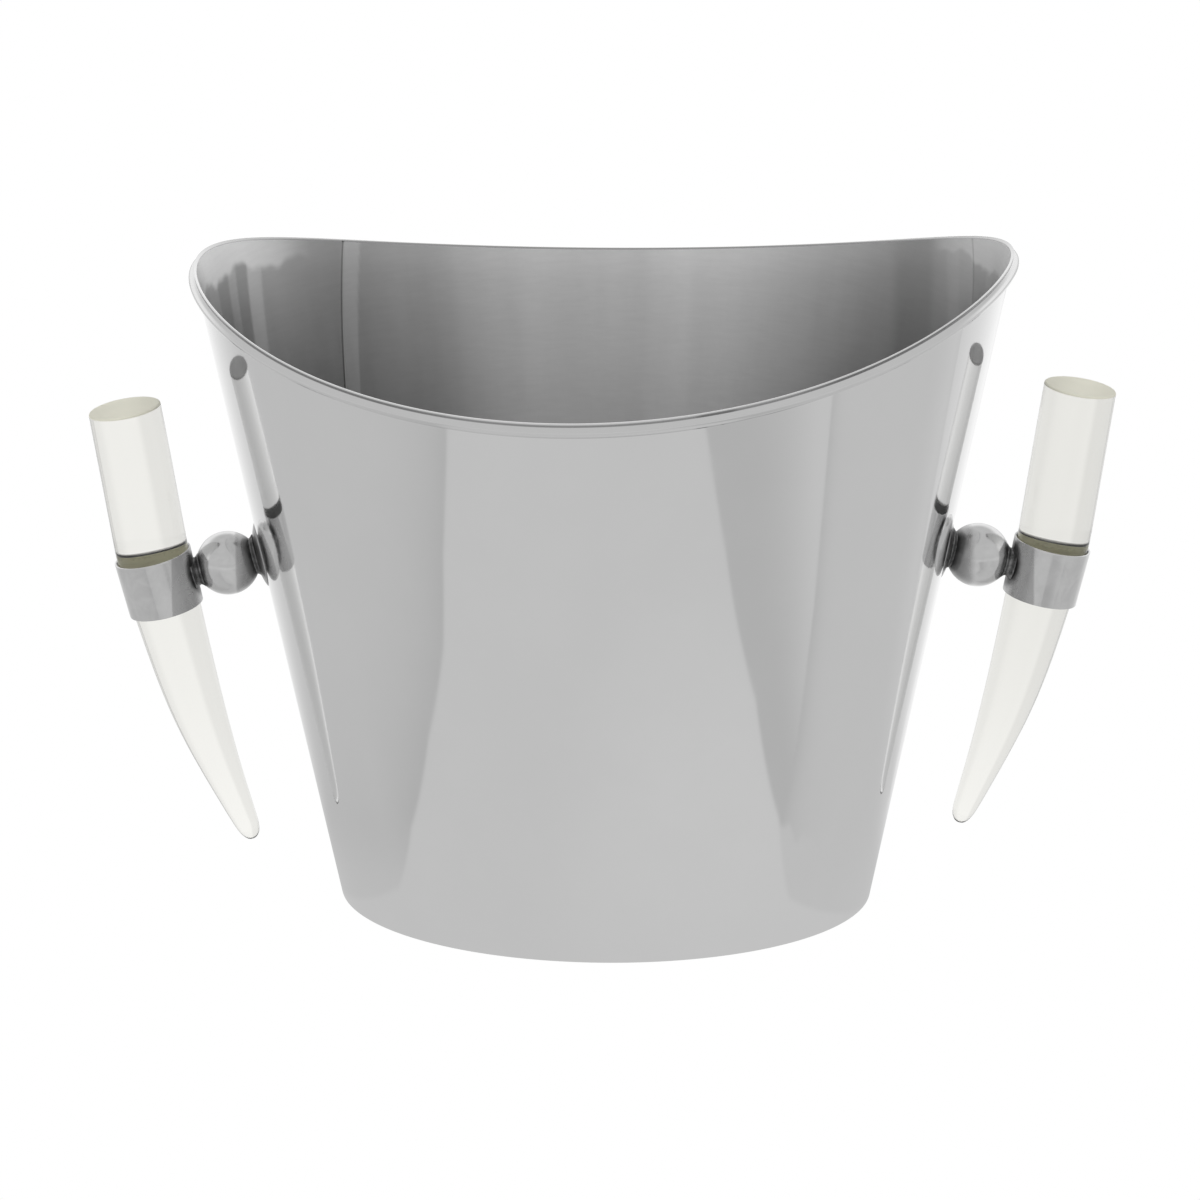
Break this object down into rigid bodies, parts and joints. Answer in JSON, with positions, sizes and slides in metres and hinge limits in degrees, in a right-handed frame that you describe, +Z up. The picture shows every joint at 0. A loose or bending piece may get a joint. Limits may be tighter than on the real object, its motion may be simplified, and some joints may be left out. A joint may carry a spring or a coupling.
{
  "type": "champagne bucket",
  "caption": "Oval flared champagne bucket in mirror-polished metal, with a beaded wave-shaped rim and a clear horn handle held in a sleeve and ball at each end.",
  "frame": {"origin": "centre of the flat underside, on the resting plane", "axes": "+Z up, +X along the oval's long axis to the side of the right-hand handle, -Y to the front"},
  "size_m": [0.4043, 0.2696, 0.2679],
  "materials": {
    "mirror_silver": "mirror polish with faint hand-buffed waviness",
    "satin_silver": "polished with fine brushing",
    "burnished_silver": "polished, burnished grey towards the joints",
    "darkened_braze": "darkened brazed joint",
    "clear_resin": "polished clear resin with a faint yellow-green tint",
    "clear_adhesive": "set clear adhesive",
    "fixing_steel": "bright turned steel",
    "gasket_rubber": "matt"
  },
  "bodies": {
    "root": {"body_shell": "mirror_silver", "base_pan": "satin_silver", "rim_bead": "mirror_silver", "left_horn": "clear_resin", "left_horn_bedding": "clear_adhesive", "left_horn_collar": "burnished_silver", "left_collar_saddle": "darkened_braze", "left_ball": "burnished_silver", "left_rosette_neck": "darkened_braze", "left_rosette": "burnished_silver", "left_mounting_stud": "fixing_steel", "left_sealing_gasket": "gasket_rubber", "left_backing_washer": "fixing_steel", "left_dome_nut": "fixing_steel", "right_horn": "clear_resin", "right_horn_bedding": "clear_adhesive", "right_horn_collar": "burnished_silver", "right_collar_saddle": "darkened_braze", "right_ball": "burnished_silver", "right_rosette_neck": "darkened_braze", "right_rosette": "burnished_silver", "right_mounting_stud": "fixing_steel", "right_sealing_gasket": "gasket_rubber", "right_backing_washer": "fixing_steel", "right_dome_nut": "fixing_steel"}
  },
  "joints": []
}
